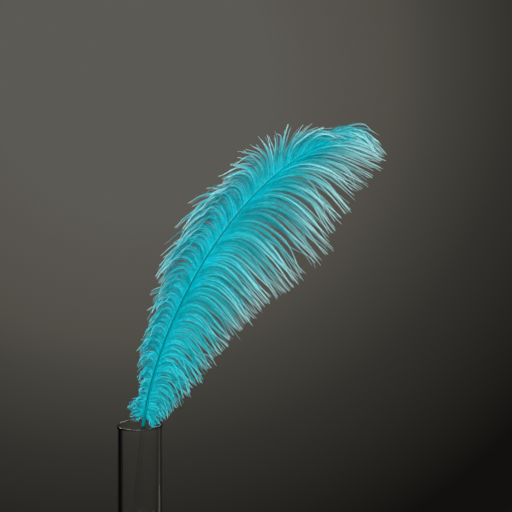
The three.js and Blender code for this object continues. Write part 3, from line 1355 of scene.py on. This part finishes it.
@dataclass
class Studio:
    """A dim backdrop, soft lamps, a pale round board and the level camera.

    The backdrop glows around one direction and darkens away from it. It opens to a plain grey
    on the right, and a dark patch behind and to the left gives the glass its dark left edge.
    Its numbers are distances and coordinates on the unit sphere of directions.
    """

    lamps: tuple[Lamp, ...] = (
        Lamp("key_lamp", (-0.75, -1.25, 1.25), 1.2, 60.0, "#fff8ee", mirrored=False),
        Lamp("fill_lamp", (1.3, -1.1, 0.55), 1.5, 27.0, "#f2f6ff", mirrored=False),
        Lamp("rim_lamp", (-0.15, 1.3, 1.5), 1.4, 24.0, "#ffffff"),
        Lamp("low_lamp", (0.85, 1.3, -0.55), 0.1, 0.006, "#ffe9c8"),
        Lamp("lip_lamp", (-1.0, 1.0, 1.0), 0.35, 5.0, "#ffffff"),
    )
    lit: Place = (110 * MM, 0.0, 330 * MM)
    lens: float = 45.0
    sensor: float = 36.0
    camera_side: float = 132.4 * MM
    camera_distance: float = 730.6 * MM
    camera_height: float = 341.8 * MM
    nearest: float = 10 * MM
    board_radius: float = 72 * MM
    board_thickness: float = 12 * MM
    board_edge: float = 1.5 * MM
    board_sides: int = 96
    glow_at: Place = (-0.19, 1.0, 0.27)
    glow: tuple[tuple[float, str], ...] = (
        (0.0, "#5c5a55"), (0.2, "#5c5a55"), (0.3, "#57534e"), (0.38, "#524f49"),
        (0.45, "#45433d"), (0.55, "#34322e"), (0.65, "#262421"), (0.74, "#12110f"),
        (0.8, "#12110f"), (1.0, "#3c3935"),
    )
    open_side: str = "#45423d"
    open_from: tuple[float, float] = (0.4, 0.52)
    dark_side: str = "#060606"
    dark_from: tuple[float, float] = (-0.385, -0.46)
    dark_behind: tuple[float, float] = (0.15, 0.35)

    def _backdrop(self) -> None:
        """Sets a warm grey surround that glows in one direction and darkens around it."""
        world = bpy.data.worlds.new("warm_grey_studio")
        bpy.context.scene.world = world
        tree = empty_tree(world)
        place = add_node(tree, "ShaderNodeTexCoord")
        away = add_node(tree, "ShaderNodeVectorMath", {"operation": "DISTANCE"},
                        values={1: tuple(Vector(self.glow_at).normalized())},
                        links={0: place.outputs["Generated"]})
        ramp = add_node(tree, "ShaderNodeValToRGB", links={"Fac": away.outputs["Value"]})
        stops = ramp.color_ramp.elements
        while len(stops) < len(self.glow):
            stops.new(1.0)
        for stop, (position, colour) in zip(stops, self.glow):
            stop.position = position
            stop.color = linear_colour(colour)
        split = add_node(tree, "ShaderNodeSeparateXYZ", links={"Vector": place.outputs["Generated"]})
        opened, closed, behind = (
            add_node(tree, "ShaderNodeMapRange", {"interpolation_type": "SMOOTHSTEP"}, values={
                "From Min": low, "From Max": high,
            }, links={"Value": split.outputs[axis]}).outputs["Result"]
            for axis, (low, high) in (
                ("X", self.open_from), ("X", self.dark_from), ("Y", self.dark_behind),
            )
        )
        both = add_node(tree, "ShaderNodeMix", {"data_type": "RGBA"},
                        values={7: linear_colour(self.open_side)},
                        links={"Factor": opened, 6: ramp.outputs["Color"]})
        corner = add_node(tree, "ShaderNodeMath", {"operation": "MULTIPLY"},
                          links={0: closed, 1: behind})
        whole = add_node(tree, "ShaderNodeMix", {"data_type": "RGBA"},
                         values={7: linear_colour(self.dark_side)},
                         links={"Factor": corner.outputs[0], 6: both.outputs[2]})
        shine = add_node(tree, "ShaderNodeBackground", links={"Color": whole.outputs[2]})
        add_node(tree, "ShaderNodeOutputWorld", links={"Surface": shine.outputs["Background"]})

    def build(self) -> None:
        """Places the camera, the lamps, the surround and the board."""
        data = bpy.data.cameras.new("camera")
        data.lens = self.lens
        data.sensor_width = self.sensor
        data.clip_start = self.nearest
        camera = link_object("camera", data)
        camera.location = (self.camera_side, -self.camera_distance, self.camera_height)
        camera.rotation_euler = (math.pi / 2, 0.0, 0.0)
        bpy.context.scene.camera = camera
        bpy.context.scene.view_settings.view_transform = "Standard"
        for lamp in self.lamps:
            lamp.build(self.lit)
        self._backdrop()
        self._board()

    def _board(self) -> None:
        """Puts the vase on a pale round board, which stays below the camera's frame."""
        outline = [(self.board_radius, -self.board_thickness), (self.board_radius, -self.board_edge),
                   (self.board_radius - self.board_edge, 0.0)]
        board = new_mesh_object("pale_floor", *turn(outline, self.board_sides), smooth=False)
        board.data.materials.append(PaintedBoard().material())


# ---------------------------------------------------------------- assembly


def make_spike() -> bpy.types.Object:
    """Makes one barbule, a closed three-sided spike 1 long whose corners are 1 from its middle.

    Returns:
        Its object, which is copied along the barbs and then removed.
    """
    corners = [(math.cos(a), math.sin(a), 0.0) for a in (0, 2 * math.pi / 3, 4 * math.pi / 3)]
    faces = [(2, 1, 0), (0, 1, 3), (1, 2, 3), (2, 0, 3)]
    return new_mesh_object("barbule_shape", np.array(corners + [(0.0, 0.0, 1.0)]), faces, False)


def settle(piece: bpy.types.Object, node: str) -> None:
    """Puts a piece on the root body and hides the CAD node it stands for.

    Args:
        piece: the piece.
        node: the CAD node that it replaces.
    """
    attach(piece, ROOT_BODY)
    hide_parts(node)
    LOG.info("%s: %d faces, in place of %s", piece.name, len(piece.data.polygons), node)


def main() -> None:
    """Builds the feather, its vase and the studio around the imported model."""
    logging.basicConfig(level=logging.INFO, format="%(name)s: %(message)s")
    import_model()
    Studio().build()
    vase = GlassVase()
    settle(vase.build(), "vase")
    line = ShaftLine()
    settle(FeatherShaft(line, floor_height=vase.base + QUILL_GAP).build(), "shaft")
    spike = make_spike()
    tree = FibreTree(RAMUS_FINISH_PAINTED_HIGHLIGHT.material(), BARBULE_FINISH.material(), spike).build()
    left = BarbField(line, Hand.LEFT, LEFT_HABITS, seed=11, ragged=1.7, pale=0.68, flick=(-30, -8))
    right = BarbField(line, Hand.RIGHT, RIGHT_HABITS, seed=23, ragged=0.8, pale=1.0, flick=(-14, 14))
    for barbs, name, node, cuts in (
        (left, "left_barbs", "left_vane", (0.0, 0.45, 0.72, 1.1)),
        (right, "right_barbs", "right_vane", (0.0, 0.36, 0.58, 0.79, 1.1)),
    ):
        for piece in Vane(barbs, tree, name, cuts).build():
            settle(piece, node)
    bpy.data.objects.remove(spike)


if __name__ == "__main__":
    main()
